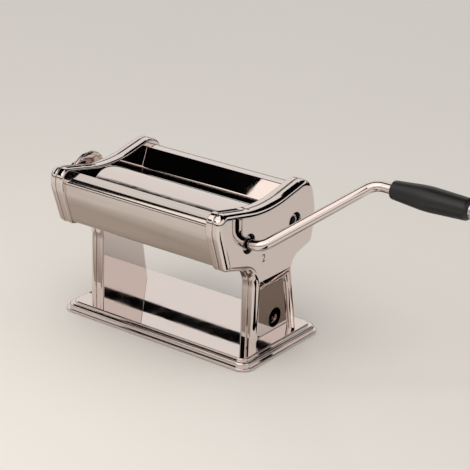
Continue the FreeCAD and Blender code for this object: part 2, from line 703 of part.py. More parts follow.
def scraper(axis_y, nip, rod):
    """Scraper on its tie rod: a sleeve and a curved blade close to the roller."""
    radii = (sheet_radius + STRIPPER_GAP, sheet_radius + STRIPPER_GAP + STRIPPER_WALL)
    blade = arc_plate(axis_y, nip, radii, BLADE_ARC, -roller_end, roller_end)
    pieces = [bar(-roller_end, roller_end, rod[0], rod[1], rod_sleeve), blade]
    return bored(fused(pieces), rod[0], rod[1], ROD_RADIUS + PRESS_FIT)


# Rollers and gears

def socketed(shaft, y):
    """Shaft with the crank socket in its right end: a round bore and a hexagon behind it."""
    bore = bar(hub_end - SOCKET_DEPTH, hub_end, y, SHAFT_HEIGHT, CRANK_RADIUS + SOCKET_PLAY)
    flats = hexagon(HEX_FLATS + 2 * SOCKET_PLAY, y, SHAFT_HEIGHT)
    bottom = hub_end - SOCKET_DEPTH - HEX_DEPTH
    return shaft.cut(bore).cut(prism(flats, bottom, hub_end))


def shaft_ends(y, right_end, right_radius):
    """Journals of a roller: the left one ends behind its retaining ring."""
    left_end = web_face + BUSH_TAIL + RING_GAP + RING_THICKNESS + SHAFT_OVERRUN
    left = bar(-left_end, 0, y, SHAFT_HEIGHT, JOURNAL_RADIUS)
    right = bar(0, right_end, y, SHAFT_HEIGHT, right_radius)
    return [rounded(left, "x", -left_end, EDGE_ROUND), rounded(right, "x", right_end, EDGE_ROUND)]


def sheet_roller(y, right_end, right_radius):
    """Smooth roller with its journals."""
    barrel = bar(-roller_end, roller_end, y, SHAFT_HEIGHT, sheet_radius)
    for end in (-roller_end, roller_end):
        barrel = rounded(barrel, "x", end, EDGE_ROUND)
    return fused([barrel] + shaft_ends(y, right_end, right_radius))


def cutter(y, lands, right_end, right_radius):
    """Grooved roller: a core and a land for each of its strips."""
    core = bar(-roller_end, roller_end, y, SHAFT_HEIGHT, groove_radius)
    rings = [bar(x0 + SIDE_PLAY, x1 - SIDE_PLAY, y, SHAFT_HEIGHT, cutter_radius) for x0, x1 in lands]
    return fused([core] + rings + shaft_ends(y, right_end, right_radius))


def gear(teeth, pitch_diameter, y, phase, bore):
    """Spur gear with involute flanks above the base circle and radial flanks below it."""
    module = pitch_diameter / teeth
    pitch = pitch_diameter / 2
    base = pitch * math.cos(PRESSURE_ANGLE)
    tip = pitch + module
    root = pitch - 1.25 * module
    half_pitch = math.pi / (2 * teeth) - BACKLASH / (2 * pitch)

    def involute(angle):
        return math.tan(angle) - angle

    def half_width(radius):
        return half_pitch + involute(PRESSURE_ANGLE) - involute(math.acos(base / radius))

    def at(radius, angle):
        return V(gear_start, y + radius * math.cos(angle), SHAFT_HEIGHT + radius * math.sin(angle))

    radii = [base + (tip - base) * i / 3 for i in range(4)]
    spacing = 2 * math.pi / teeth
    edges = []
    for i in range(teeth):
        middle = phase + spacing * i
        rise = [at(r, middle - half_width(r)) for r in radii]
        fall = [at(r, middle + half_width(r)) for r in reversed(radii)]
        foot = half_width(base)
        for flank in (rise, fall):
            curve = Part.BSplineCurve()
            curve.interpolate(flank)
            edges.append(curve.toShape())
        edges.append(Part.makeLine(at(root, middle - foot), rise[0]))
        edges.append(Part.Arc(rise[-1], at(tip, middle), fall[0]).toShape())
        edges.append(Part.makeLine(fall[-1], at(root, middle + foot)))
        gap_end = at(root, middle + spacing - foot)
        edges.append(Part.Arc(at(root, middle + foot), at(root, middle + spacing / 2), gap_end).toShape())
    outline = Part.Wire(Part.__sortEdges__(edges))
    return bored(Part.Face(outline).extrude(V(GEAR_WIDTH, 0, 0)), y, SHAFT_HEIGHT, bore)


def retaining_ring(y):
    """Ring on a left journal, just outside its bush."""
    start = web_face + BUSH_TAIL + RING_GAP
    ring = bar(-start, -start - RING_THICKNESS, y, SHAFT_HEIGHT, JOURNAL_RADIUS + RING_WALL)
    return bored(ring, y, SHAFT_HEIGHT, JOURNAL_RADIUS)


# Bushes

def bush_places(side):
    """Bushes in a side frame as (y, z, shaft radius)."""
    socket_radius = SOCKET_HUB_RADIUS if side == RIGHT else JOURNAL_RADIUS
    return [
        (SHEET_Y, SHAFT_HEIGHT, socket_radius),
        (drive_cutter_y, SHAFT_HEIGHT, socket_radius),
        (idle_y, SHAFT_HEIGHT, JOURNAL_RADIUS),
        (adjuster_y, adjuster_z, ADJUSTER_RADIUS),
    ]


def roller_bush(side, y, z, radius):
    """Flanged bush: its flange fills the space beside the roller, its tail goes through the web."""
    outside = radius + BUSH_WALL
    flange = bar(side * (roller_end + RING_GAP), side * frame_face, y, z, outside + BUSH_FLANGE)
    tail = bar(side * frame_face, side * (web_face + BUSH_TAIL), y, z, outside)
    return bored(flange.fuse(tail), y, z, radius + RUNNING_FIT)


def adjuster_bush(side):
    """Bush of the adjuster shaft, flanged on the housing side so that the eccentric has room."""
    outside = ADJUSTER_RADIUS + BUSH_WALL
    tail = bar(side * frame_face, side * web_face, adjuster_y, adjuster_z, outside)
    flange_end = side * (web_face + FRAME_WALL)
    flange = bar(side * web_face, flange_end, adjuster_y, adjuster_z, outside + BUSH_FLANGE)
    return bored(tail.fuse(flange), adjuster_y, adjuster_z, ADJUSTER_RADIUS + RUNNING_FIT)


def knob_bush():
    """Collar in the left cover that steadies the adjuster shaft beside the knob."""
    outside = ADJUSTER_RADIUS + BUSH_WALL
    tail = bar(-half, -half + COVER_WALL + BUSH_TAIL, adjuster_y, adjuster_z, outside)
    collar = bar(-half, -half - KNOB_START / 2, adjuster_y, adjuster_z, outside + 3 * BUSH_FLANGE)
    collar = rounded(collar, "x", -half - KNOB_START / 2, EDGE_ROUND)
    return bored(tail.fuse(collar), adjuster_y, adjuster_z, ADJUSTER_RADIUS + RUNNING_FIT)


# Gap adjuster

def eccentric_offset(turn):
    """Middle of an eccentric about the adjuster shaft; half way through the turn it points straight up."""
    angle = turn - KNOB_TURN / 2
    return eccentric_throw * math.sin(angle), eccentric_throw * math.cos(angle)


def adjuster_shaft():
    """Shaft from the knob right across to the right web, with an eccentric beside each side frame."""
    knob_end = half + KNOB_START + KNOB_DEPTH - KNOB_ROUND
    shaft = bar(-knob_end, web_face + FRAME_WALL, adjuster_y, adjuster_z, ADJUSTER_RADIUS)
    shaft = shaft.cut(bar(-knob_end, -knob_end + SCREW_BITE, adjuster_y, adjuster_z, SCREW_RADIUS))
    dy, dz = eccentric_offset(0)
    pieces = [shaft]
    for side in (LEFT, RIGHT):
        outer = block_face - BLOCK_PLAY
        inner = block_face - BLOCK_WALL + BLOCK_PLAY
        pieces.append(bar(side * inner, side * outer, adjuster_y + dy, adjuster_z + dz, ECCENTRIC_RADIUS))
    return fused(pieces)


def bearing_block(side):
    """Block on a journal of the adjustable roller: a boss sliding in the web, a fork on the eccentric."""
    back = block_face - BLOCK_WALL
    ring = JOURNAL_RADIUS + BUSH_WALL + BUSH_FLANGE
    slot_y = adjuster_y + eccentric_offset(0)[0]
    slot_low = adjuster_z - ECCENTRIC_RADIUS - eccentric_throw
    fork_high = adjuster_z + ECCENTRIC_RADIUS
    fork = prism([
        (fork_front, slot_low - FORK_ARM, FORK_ROUND),
        (wide_y, SHAFT_HEIGHT - ring, 0),
        (wide_y, SHAFT_HEIGHT + ring, 0),
        (slot_y + fork_slot + FORK_ARM, fork_high, BLOCK_ROUND),
        (fork_front, fork_high, BLOCK_ROUND),
    ], side * back, side * block_face)
    slot = upright(slot_y - fork_slot, slot_y + fork_slot, slot_low, fork_high + FORK_ARM, 0)
    slot = prism(slot, side * (back - BLOCK_WALL), side * (block_face + BLOCK_WALL))
    low, high = SHAFT_HEIGHT - BLOCK_BOSS, SHAFT_HEIGHT + BLOCK_BOSS
    boss = upright(wide_y - BLOCK_BOSS, wide_y + BLOCK_BOSS, low, high, BLOCK_ROUND)
    boss = prism(boss, side * back, side * (web_face + BUSH_TAIL))
    eye = bar(side * back, side * block_face, wide_y, SHAFT_HEIGHT, ring + BLOCK_ROUND)
    block = fused([fork.cut(slot), eye, boss])
    return bored(block, wide_y, SHAFT_HEIGHT, JOURNAL_RADIUS + RUNNING_FIT)


def adjuster_knob():
    """Dial disc with a smaller hand grip in front of it, whose dished end holds the screw."""
    rear = -half - KNOB_START
    front = rear - KNOB_DEPTH
    floor = rear - KNOB_RECESS
    dial = rear - DIAL_WALL
    inner = KNOB_RADIUS - KNOB_RIM
    hub = ADJUSTER_RADIUS + KNOB_HUB
    seat = front + KNOB_ROUND
    well = KNOB_SCREW_HEAD_RADIUS + EDGE_ROUND
    corners = [
        (rear + KNOB_HUB_REACH, ADJUSTER_RADIUS, 0),
        (rear + KNOB_HUB_REACH, hub, EDGE_ROUND),
        (floor, hub, KNOB_RECESS / 2),
        (floor, inner, KNOB_RECESS / 2),
        (rear, inner, EDGE_ROUND),
        (rear, KNOB_RADIUS, DIAL_ROUND),
        (dial, KNOB_RADIUS, DIAL_ROUND),
        (dial - DIAL_RISE, KNOB_GRIP_RADIUS, KNOB_NECK),
        (front, KNOB_GRIP_RADIUS - KNOB_TAPER, KNOB_ROUND),
        (front + KNOB_DISH, (KNOB_GRIP_RADIUS + well) / 2, KNOB_DISH_CURVE),
        (front, well, EDGE_ROUND),
        (seat, well, 0),
        (seat, ADJUSTER_RADIUS, 0),
    ]
    return turned(corners, adjuster_y, adjuster_z)


def knob_screw():
    """Screw that holds the knob on its shaft."""
    seat = half + KNOB_START + KNOB_DEPTH - KNOB_ROUND
    top = seat + KNOB_SCREW_HEAD
    head = bar(-seat, -top, adjuster_y, adjuster_z, KNOB_SCREW_HEAD_RADIUS)
    shank = bar(-seat, -seat + SCREW_BITE, adjuster_y, adjuster_z, SCREW_RADIUS)
    return rounded(head, "x", -top, EDGE_ROUND).fuse(shank)


# Crank

def crank_line():
    """Corners of the crank's middle line: socket end, two bends and the end of the spindle."""
    out = math.sin(CRANK_TILT)
    across = math.cos(CRANK_TILT)
    arm = V(out, across * math.sin(CRANK_LEAN), across * math.cos(CRANK_LEAN)) * (CRANK_THROW / across)
    start = V(hub_end - SOCKET_DEPTH + SOCKET_PLAY, drive_cutter_y, SHAFT_HEIGHT)
    first = V(half + CRANK_STANDOFF, drive_cutter_y, SHAFT_HEIGHT)
    second = first + arm
    end = second + ALONG_X * (GRIP_START + GRIP_LENGTH + SPINDLE_TAIL)
    return [start, first, second, end]


def crank_rod():
    """Round rod bent twice, with a hexagon on the end that goes into the socket."""
    start, first, second, end = crank_line()
    corners = [(start, 0), (first, CRANK_BEND), (second, CRANK_BEND), (end, 0)]
    path = Part.Wire(rounded_edges(corners, False))
    section = Part.Wire(Part.makeCircle(CRANK_RADIUS, start, ALONG_X))
    rod = path.makePipeShell([section], True, True)
    tip_end = start.x - HEX_DEPTH + 2 * SOCKET_PLAY
    tip = prism(hexagon(HEX_FLATS, drive_cutter_y, SHAFT_HEIGHT), tip_end, start.x)
    return rod.fuse(tip)


def crank_grip():
    """Barrel-shaped grip that turns on the spindle."""
    second = crank_line()[2]
    x0 = second.x + GRIP_START
    x1 = x0 + GRIP_LENGTH
    bore = CRANK_RADIUS + GRIP_PLAY
    corners = [
        (x0, bore, 0),
        (x0, GRIP_NECK, GRIP_ROUND / 2),
        (x0 + GRIP_SWELL, GRIP_RADIUS, GRIP_CURVE),
        (x1, GRIP_TAIL, GRIP_ROUND),
        (x1, bore, 0),
    ]
    return turned(corners, second.y, second.z)


def grip_washer():
    """Washer pushed on the end of the spindle, which keeps the grip on."""
    end = crank_line()[3]
    start = end.x - SPINDLE_TAIL + RING_GAP
    washer = bar(start, start + WASHER_THICKNESS, end.y, end.z, CRANK_RADIUS + RING_WALL)
    return bored(washer, end.y, end.z, CRANK_RADIUS)


def parts():
    """Every piece by name."""
    pieces = {
        "base_plate": base_plate(),
        "base_feet": base_feet(),
        "leg_screws": leg_screws(),
        "leg_nuts": leg_nuts(),
        "front_panel": front_panel(),
        "bridge_plate": bridge_plate(),
        "rear_panel": rear_panel(),
        "tie_rod_screws": tie_rod_screws(),
        "knob_bush": knob_bush(),
    }
    rods = rod_places()
    for name, place in rods.items():
        pieces[name] = tie_rod(*place)
    pieces["front_comb"] = comb(idle_y, 1, rods["tie_rod_front_comb"], land_spans(0))
    pieces["rear_comb"] = comb(drive_cutter_y, -1, rods["tie_rod_rear_comb"], land_spans(1))
    pieces["front_scraper"] = scraper(fine_y, 1, rods["tie_rod_front_scraper"])
    pieces["rear_scraper"] = scraper(SHEET_Y, -1, rods["tie_rod_rear_scraper"])
    bush_names = ("drive_roller", "drive_cutter", "idle_cutter")
    for side, word in ((LEFT, "left"), (RIGHT, "right")):
        pieces[word + "_side_frame"] = side_frame(side)
        pieces[word + "_side_cover"] = side_cover(side)
        pieces[word + "_bearing_block"] = bearing_block(side)
        pieces[word + "_adjuster_bush"] = adjuster_bush(side)
        for name, place in zip(bush_names, bush_places(side)):
            pieces[word + "_" + name + "_bush"] = roller_bush(side, *place)
    short_end = gear_end + SHAFT_OVERRUN
    drive_roller = sheet_roller(SHEET_Y, hub_end, SOCKET_HUB_RADIUS)
    drive_cutter = cutter(drive_cutter_y, land_spans(0), hub_end, SOCKET_HUB_RADIUS)
    pieces["drive_roller"] = socketed(drive_roller, SHEET_Y)
    pieces["adjustable_roller"] = sheet_roller(wide_y, short_end, JOURNAL_RADIUS)
    pieces["drive_cutter"] = socketed(drive_cutter, drive_cutter_y)
    pieces["idle_cutter"] = cutter(idle_y, land_spans(1), short_end, JOURNAL_RADIUS)
    gears = [
        ("drive_roller", SHEET_TEETH, SHEET_DIAMETER, SHEET_Y, math.pi, SOCKET_HUB_RADIUS),
        ("adjustable_roller", SHEET_TEETH, SHEET_DIAMETER, wide_y, math.pi / SHEET_TEETH, JOURNAL_RADIUS),
        ("drive_cutter", CUTTER_TEETH, cutter_centres, drive_cutter_y, math.pi, SOCKET_HUB_RADIUS),
        ("idle_cutter", CUTTER_TEETH, cutter_centres, idle_y, math.pi / CUTTER_TEETH, JOURNAL_RADIUS),
    ]
    for name, teeth, pitch_diameter, y, phase, bore in gears:
        pieces[name + "_gear"] = gear(teeth, pitch_diameter, y, phase, bore)
        pieces[name + "_ring"] = retaining_ring(y)
    pieces["adjuster_shaft"] = adjuster_shaft()
    pieces["adjuster_knob"] = adjuster_knob()
    pieces["knob_screw"] = knob_screw()
    pieces["crank_rod"] = crank_rod()
    pieces["crank_grip"] = crank_grip()
    pieces["grip_washer"] = grip_washer()
    return pieces


os.makedirs("parts", exist_ok=True)
for node, shape in parts().items():
    shape.exportStep("parts/" + node + ".step")
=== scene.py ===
import bmesh
import bpy
import numpy as np
from bpy.props import FloatProperty, FloatVectorProperty, IntProperty, PointerProperty
from mathutils import Matrix, Vector


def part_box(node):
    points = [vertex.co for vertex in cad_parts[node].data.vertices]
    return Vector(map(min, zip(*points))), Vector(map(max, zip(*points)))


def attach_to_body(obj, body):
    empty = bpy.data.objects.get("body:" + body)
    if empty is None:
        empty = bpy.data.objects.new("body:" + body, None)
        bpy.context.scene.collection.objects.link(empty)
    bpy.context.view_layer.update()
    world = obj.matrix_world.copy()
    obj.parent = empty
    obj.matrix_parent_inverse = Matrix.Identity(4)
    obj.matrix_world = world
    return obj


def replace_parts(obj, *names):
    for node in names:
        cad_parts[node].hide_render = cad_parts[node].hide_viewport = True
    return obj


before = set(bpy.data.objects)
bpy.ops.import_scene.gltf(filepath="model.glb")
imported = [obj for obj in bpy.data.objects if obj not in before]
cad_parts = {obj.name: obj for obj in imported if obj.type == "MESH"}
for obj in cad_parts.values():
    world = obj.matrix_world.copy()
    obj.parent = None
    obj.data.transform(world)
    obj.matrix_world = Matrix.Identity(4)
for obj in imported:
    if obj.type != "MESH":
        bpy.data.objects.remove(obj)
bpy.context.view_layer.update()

bl_info = {
    "name": "Pasta Roller Looks",
    "version": (1, 0, 0),
    "blender": (4, 5, 0),
    "location": "View3D > Sidebar > Pasta Roller",
    "description": "Finishes, figures, screw heads and studio of a hand-cranked pasta roller",
    "category": "Object",
}

MM = 0.001
BOTH = ("left_", "right_")
SHAFTS = ("drive_roller", "adjustable_roller", "drive_cutter", "idle_cutter")
CHROMED = ("base_plate", "bridge_plate", "rear_panel", "adjuster_knob", "knob_bush", "crank_rod",
           *(side + name for side in BOTH for name in ("side_frame", "side_cover")))
ZINC_PLATED = ("leg_nuts", "tie_rod_screws", "tie_rod_front_comb", "tie_rod_rear_comb",
               "tie_rod_front_scraper", "tie_rod_rear_scraper", "tie_rod_rear", "grip_washer",
               "adjuster_shaft", *(shaft + "_ring" for shaft in SHAFTS))
BUSHED = tuple(side + name for side in BOTH for name in (
    "bearing_block", "adjuster_bush", "drive_roller_bush", "drive_cutter_bush", "idle_cutter_bush"))
STRIPPERS = ("front_comb", "rear_comb", "front_scraper", "rear_scraper")
FIGURE_SHARE = 0.7  # height of a figure as a share of its font's size
SENSOR_WIDTH = 36  # millimetres
FACING_LEFT = ((0, 0, -1), (0, -1, 0), (-1, 0, 0))  # directions of a screw's own X, Y and Z
FACING_DOWN = ((1, 0, 0), (0, -1, 0), (0, 0, -1))
FLOOR_REACH = 6.0  # metres from the machine to the floor's edge
SQUARE = ((-1, -1), (1, -1), (1, 1), (-1, 1))  # corners of a flat sheet, in order
FRONT_SHADE_SPAN = (-0.1, -0.2)  # the mat in front of the base carries painted shade, which goes from dark near the base to light between these y, in metres
# Cards that only mirroring surfaces see: cloth, middle in metres, direction faced, width and height in
# metres, and turn about that direction in degrees.
CARDS = {
    # Black part of the hopper wall, and the upper ends of the arched edges
    "dark_ceiling": ("black_cloth", (-0.1, -0.1375, 1.5), (0, 0, -1), 3.0, 2.125, 0),
    # Band across the base
    "dark_strip": ("black_cloth", (-0.3, 0.32, 0.206), (0, -1, 0), 1.6, 0.016, 0),
    # Thin dark lines where rounded edges mirror the horizon
    "dark_wall_front": ("black_cloth", (0, -1.6, 0.15), (0, 1, 0), 3.2, 0.26, 0),
    "dark_wall_back": ("black_cloth", (0, 1.6, 0.15), (0, -1, 0), 3.2, 0.26, 0),
    "dark_wall_left": ("black_cloth", (-1.6, 0, 0.15), (1, 0, 0), 3.2, 0.26, 0),
    "dark_wall_right": ("black_cloth", (1.6, 0, 0.15), (-1, 0, 0), 3.2, 0.26, 0),
    # Two dark lines along the arched edges, with a bright one where the gap between the cards is mirrored
    "dark_corner": ("black_cloth", (0.78, 0.78, 0.185), (-0.63, -0.78, 0), 1.35, 0.35, 0),
    "dark_corner_high": ("black_cloth", (0.57, 0.95, 1.165), (-0.63, -0.78, 0), 1.9, 1.17, 0),
    # Band on the front panel's shoulder and lines on the base's front edge
    "dark_side": ("black_cloth", (-0.83, -0.84, 0.91), (0.65, 0.75, 0), 0.72, 0.78, 0),
    # On the floor: dark edges of the right cover and leg and of the crank rod
    "dark_mat": ("black_cloth", (0.09, 0.09, 0.001), (0, 0, 1), 0.05, 0.056, 0),
    "dark_tile": ("black_cloth", (0.121, -0.007, 0.001), (0, 0, 1), 0.02, 0.036, 0),
    "dark_lane": ("black_cloth", (0.27, -0.18, 0.001), (0, 0, 1), 0.34, 0.07, -42),
    "dark_lane_rod": ("black_cloth", (0.222, 0.02, 0.001), (0, 0, 1), 0.17, 0.03, 40),
    # On the floor, seen only in mirrors: painted shadow beside the right leg, which gives the leg's web its
    # brown, and the front panel's change from light to brown
    "leg_shadow_mat": ("leg_shadow_cloth", (0.155, 0.09, 0.001), (0, 0, 1), 0.08, 0.11, 0),
    # Painted shade of the floor in front of the base, darker near the base and lighter further out, which
    # the front panel mirrors
    "front_shade_mat": ("front_shade_cloth", (-0.17, -0.34, 0.001), (0, 0, 1), 0.5, 0.53, 0),
}


def linear(code):
    """Turn an sRGB hex value into linear red, green and blue."""
    share = np.array([int(code[i:i + 2], 16) for i in (1, 3, 5)]) / 255
    return tuple(np.where(share <= 0.04045, share / 12.92, ((share + 0.055) / 1.055) ** 2.4))


def colour(name, code, description):
    """A colour setting that starts at an sRGB hex value."""
    return FloatVectorProperty(name=name, description=description, subtype="COLOR", size=3,
                               min=0, max=1, default=linear(code))


def length(name, millimetres, description):
    """A length setting, given in millimetres and kept in metres."""
    return FloatProperty(name=name, description=description, subtype="DISTANCE", unit="LENGTH",
                         default=millimetres * MM, precision=5)


def angle(name, degrees, description):
    """An angle setting, given in degrees and kept in radians."""
    return FloatProperty(name=name, description=description, subtype="ANGLE", unit="ROTATION",
                         default=np.radians(degrees))


# Settings

class FinishSettings(bpy.types.PropertyGroup):
    """Colours of the finishes and the sizes of their patterns."""
    chrome: colour("Chrome", "#e4d9d5", "Bright chrome plate on the pressings, knob and crank")
    chrome_wave: length("Chrome wave", 38, "Spacing of the shallow waves that pressing leaves in sheet")
    chrome_haze: length("Chrome haze", 14, "Size of the patches that wiping leaves on chrome")
    satin: colour("Satin steel", "#e0d6d0", "Brushed stainless steel of the front panel")
    satin_grain: length("Satin grain", 0.9, "Spacing of the brush lines along the front panel")
    roller: colour("Rollers", "#c4c6c9", "Turned and anodised aluminium of rollers and cutters")
    roller_ring: length("Turning marks", 0.8, "Spacing of the turning marks round the rollers")
    gear: colour("Gears", "#75757a", "Sintered steel of the gears")
    gear_grit: length("Sinter grit", 0.7, "Size of the grains in sintered steel")
    zinc: colour("Zinc", "#c3c7cf", "Zinc plate on screws, nuts, rings and tie rods")
    zinc_tint: colour("Zinc tint", "#cfc9ae", "Yellowish patches in the zinc plate")
    zinc_patch: length("Zinc patches", 7, "Size of those patches")
    nylon: colour("Nylon", "#e4dfd0", "Natural nylon of the bushes and bearing blocks")
    comb: colour("Combs", "#d3d1cb", "Pale moulded plastic of combs and scrapers")
    rubber: colour("Rubber", "#1d1c1c", "Black rubber of the feet")
    grip: colour("Grip", "#1a1a1b", "Black plastic of the crank's grip")
    grip_grain: length("Grip grain", 0.9, "Size of the fine grain moulded into the grip")
    ink: colour("Figures", "#2a2625", "Dark filling of the stamped figures")
    ink_wear: length("Figure wear", 0.8, "Size of the worn spots in that filling")


class DetailSettings(bpy.types.PropertyGroup):
    """Sizes of the small pieces that sit on the solids."""
    cover_figure: length("Cover figure", 7.5, "Height of the figure on the right cover")
    cover_figure_y: length("Cover figure, Y", -23.7, "Middle of that figure, from front to back")
    cover_figure_z: length("Cover figure, Z", 96.7, "Middle of that figure above the table")
    dial_figure: length("Dial figures", 4.2, "Height of the figures on the knob's dial")
    dial_radius: length("Dial radius", 19.0, "From the knob's axis to the middle of the figures")
    dial_count: IntProperty(name="Dial positions", description="How many gap settings the knob has",
                            default=7, min=2, max=9)
    dial_travel: angle("Dial travel", 120, "Knob's turn from the first figure to the last")
    dial_rim: length("Dial rim", 24, "Radius of the dial's rim")
    dial_grip: length("Dial grip", 12, "Radius at which the dial's cone meets the grip")
    dial_rise: length("Dial rise", 1.2, "How far the dial's cone rises from rim to grip")
    dial_depth: length("Dial depth", 4.9, "From the knob's inner end to the front of its rim")
    pointer: length("Pointer", 5.0, "Length of the pointer beside the knob")
    proud: length("Proud", 0.06, "How far figures and pointer stand off their surface")
    knob_head: length("Knob screw head", 3.9, "Radius of the knob screw's head")
    knob_head_height: length("Knob screw height", 2.6, "Height of the knob screw's head")
    leg_head: length("Leg screw head", 3.8, "Radius of the leg screws' heads")
    leg_head_height: length("Leg screw height", 2.4, "Height of the leg screws' heads")
    shank: length("Shank", 1.8, "Radius of the screws' shanks")
    recess_width: length("Cross slot width", 1.1, "Width of the slots in the screw heads")
    recess_depth: length("Cross slot depth", 1.2, "Depth of the slots in the screw heads")


class StudioSettings(bpy.types.PropertyGroup):
    """Camera, floor and light."""
    azimuth: angle("Azimuth", 35.74, "Camera's turn round the machine from straight in front")
    elevation: angle("Elevation", 21.57, "Camera's height above the horizon")
    roll: angle("Roll", 2.03, "Camera's turn about its own line of sight")
    distance: length("Distance", 1462.7, "From the camera to the point it looks at")
    target: FloatVectorProperty(name="Target", description="Point that the camera looks at",
                                subtype="TRANSLATION", unit="LENGTH", size=3, default=(0.0485, 0, 0.0989))
    lens: FloatProperty(name="Lens", description="Focal length on a 36 mm wide sensor", default=123.7,
                        subtype="DISTANCE_CAMERA")
    floor: colour("Floor", "#dedbd7", "Pale studio floor")
    flag: colour("Flags", "#070606", "Black cloth of the cards that polished metal mirrors")
    # Colour of the painted shadow on the floor beside the right leg, which only mirrors see
    screen: colour("Screen", "#7d7269", "Grey cloth that the right leg mirrors")
    # Colours of the painted shade on the floor in front of the base, near and far, which only mirrors see
    mat: colour("Mat", "#9f968d", "Cloth in front of the base, which the lower front panel mirrors")
    mat_far: colour("Mat, far end", "#cdcac7", "Far end of that cloth, which the upper front panel mirrors")
    room: colour("Room", "#fbf8f4", "Colour of the even light from all round")
    sky: FloatProperty(name="Room light", description="Strength of the even light from all round",
                       default=0.9, min=0, subtype="FACTOR", max=2)
    glow: colour("Glow", "#fff6ee", "Colour of the large soft box")
    key: FloatProperty(name="Key light", description="Power of the large soft box", default=2.5,
                       unit="POWER", min=0)
    key_size: length("Soft box", 800, "Side of the square soft box")
    key_turn: angle("Soft box turn", 53.1301, "Soft box's turn about the upright")
    key_place: FloatVectorProperty(name="Soft box place", description="Middle of the soft box", size=3,
                                   subtype="TRANSLATION", unit="LENGTH", default=(-0.06, -0.48, 0.65))


# Nodes and finishes

def feed(tree, node, inputs):
    """Set a node's inputs: a socket is linked to the input and anything else becomes its value."""
    for name, value in inputs.items():
        if isinstance(value, bpy.types.NodeSocket):
            tree.links.new(value, node.inputs[name])
        else:
            node.inputs[name].default_value = value


def add(tree, kind, inputs, **settings):
    """Add one node with its settings and its inputs."""
    node = tree.nodes.new(kind)
    for name, value in settings.items():
        setattr(node, name, value)
    feed(tree, node, inputs)
    return node


def noise(tree, place, size, detail, **more):
    """Cloudy noise from 0 to 1, whose clouds have a real size in metres."""
    inputs = {"Vector": place, "Scale": 1 / size, "Detail": detail, **more}
    return add(tree, "ShaderNodeTexNoise", inputs).outputs["Fac"]


def drawn_noise(tree, place, sizes, detail):
    """Cloudy noise from 0 to 1, whose clouds have a size of their own along X, Y and Z, in metres."""
    scale = tuple(1 / size for size in sizes)
    drawn = add(tree, "ShaderNodeMapping", {"Vector": place, "Scale": scale})
    return noise(tree, drawn.outputs["Vector"], 1.0, detail)


def spread(tree, value, low, high, start=0.3, stop=0.7):
    """Spread values from start to stop, at first the middle of a noise, over low to high."""
    inputs = {"Value": value, "From Min": start, "From Max": stop, "To Min": low, "To Max": high}
    return add(tree, "ShaderNodeMapRange", inputs).outputs["Result"]


def blend(tree, share, first, second):
    """Go from the first colour to the second as the share goes from 0 to 1."""
    inputs = {"Factor": share, "A": (*first, 1), "B": (*second, 1)}
    return add(tree, "ShaderNodeMix", inputs, data_type="RGBA").outputs["Result"]


def relief(tree, height, strength, depth):
    """Normals of a surface that a pattern raises by a real depth in metres."""
    inputs = {"Height": height, "Strength": strength, "Distance": depth}
    return add(tree, "ShaderNodeBump", inputs).outputs["Normal"]


def dimmed(shade, share):
    """A share of a colour."""
    return tuple(share * part for part in shade)


def finish(name):
    """Start a material: returns it with its tree, its shader and the piece's own coordinates in metres."""
    material = bpy.data.materials.new(name)
    material.use_nodes = True
    tree = material.node_tree
    place = add(tree, "ShaderNodeTexCoord", {}).outputs["Object"]
    return material, tree, tree.nodes["Principled BSDF"], place


def polished_chrome(settings):
    """Bright chrome plate over pressed steel. It mirrors the room, its long reflections waver with the
    sheet's shallow waves, and wiping leaves soft patches that are a little less sharp."""
    material, tree, shader, place = finish("polished_chrome_plate")
    haze = noise(tree, place, settings.chrome_haze, detail=5.0, Distortion=0.6)
    wave = noise(tree, place, settings.chrome_wave, detail=1.0)
    feed(tree, shader, {"Base Color": (*settings.chrome, 1), "Metallic": 1.0,
                        "Roughness": spread(tree, haze, low=0.012, high=0.04, start=0.35),
                        "Normal": relief(tree, wave, strength=1.0, depth=0.02 * MM)})
    return material


def brushed_stainless(settings):
    """Stainless sheet brushed along its length. Fine lines run across the machine, highlights are soft,
    and faint darker streaks show. The lines are drawn coarser than the real 0.1 mm so that they show."""
    material, tree, shader, place = finish("brushed_stainless_steel")
    grain = settings.satin_grain
    lines = drawn_noise(tree, place, (90 * grain, grain, grain), detail=4.0)
    streaks = drawn_noise(tree, place, (160 * grain, 9 * grain, 9 * grain), detail=3.0)
    tone = spread(tree, streaks, low=0.0, high=1.0)
    feed(tree, shader, {"Base Color": blend(tree, tone, dimmed(settings.satin, 0.84), settings.satin),
                        "Metallic": 1.0, "Roughness": spread(tree, lines, low=0.09, high=0.16),
                        "Normal": relief(tree, lines, strength=0.35, depth=0.05 * MM)})
    return material


def turned_aluminium(settings):
    """Anodised aluminium, turned on a lathe. Fine rings run round the rollers and give a soft sheen."""
    material, tree, shader, place = finish("turned_anodised_aluminium")
    across = 125 * MM
    rings = drawn_noise(tree, place, (settings.roller_ring, across, across), detail=3.0)
    feed(tree, shader, {"Base Color": (*settings.roller, 1), "Metallic": 1.0,
                        "Roughness": spread(tree, rings, low=0.22, high=0.4),
                        "Normal": relief(tree, rings, strength=0.3, depth=0.04 * MM)})
    return material


def sintered_steel(settings):
    """Pressed and sintered steel with a film of oil. It is dark, faintly grainy and dully bright."""
    material, tree, shader, place = finish("sintered_steel")
    grit = noise(tree, place, settings.gear_grit, detail=3.0)
    feed(tree, shader, {"Base Color": blend(tree, grit, dimmed(settings.gear, 0.6), settings.gear),
                        "Metallic": 1.0, "Roughness": spread(tree, grit, low=0.38, high=0.56),
                        "Normal": relief(tree, grit, strength=0.4, depth=0.05 * MM)})
    return material


def zinc_plated_steel(settings):
    """Clear-passivated zinc plate. Bluish metal with faint yellowish patches and a half-bright surface."""
    material, tree, shader, place = finish("zinc_plated_steel")
    patch = noise(tree, place, settings.zinc_patch, detail=3.0)
    share = spread(tree, patch, low=0.0, high=0.7, start=0.4, stop=0.75)
    feed(tree, shader, {"Base Color": blend(tree, share, settings.zinc, settings.zinc_tint),
                        "Metallic": 1.0, "Roughness": spread(tree, patch, low=0.22, high=0.36)})
    return material


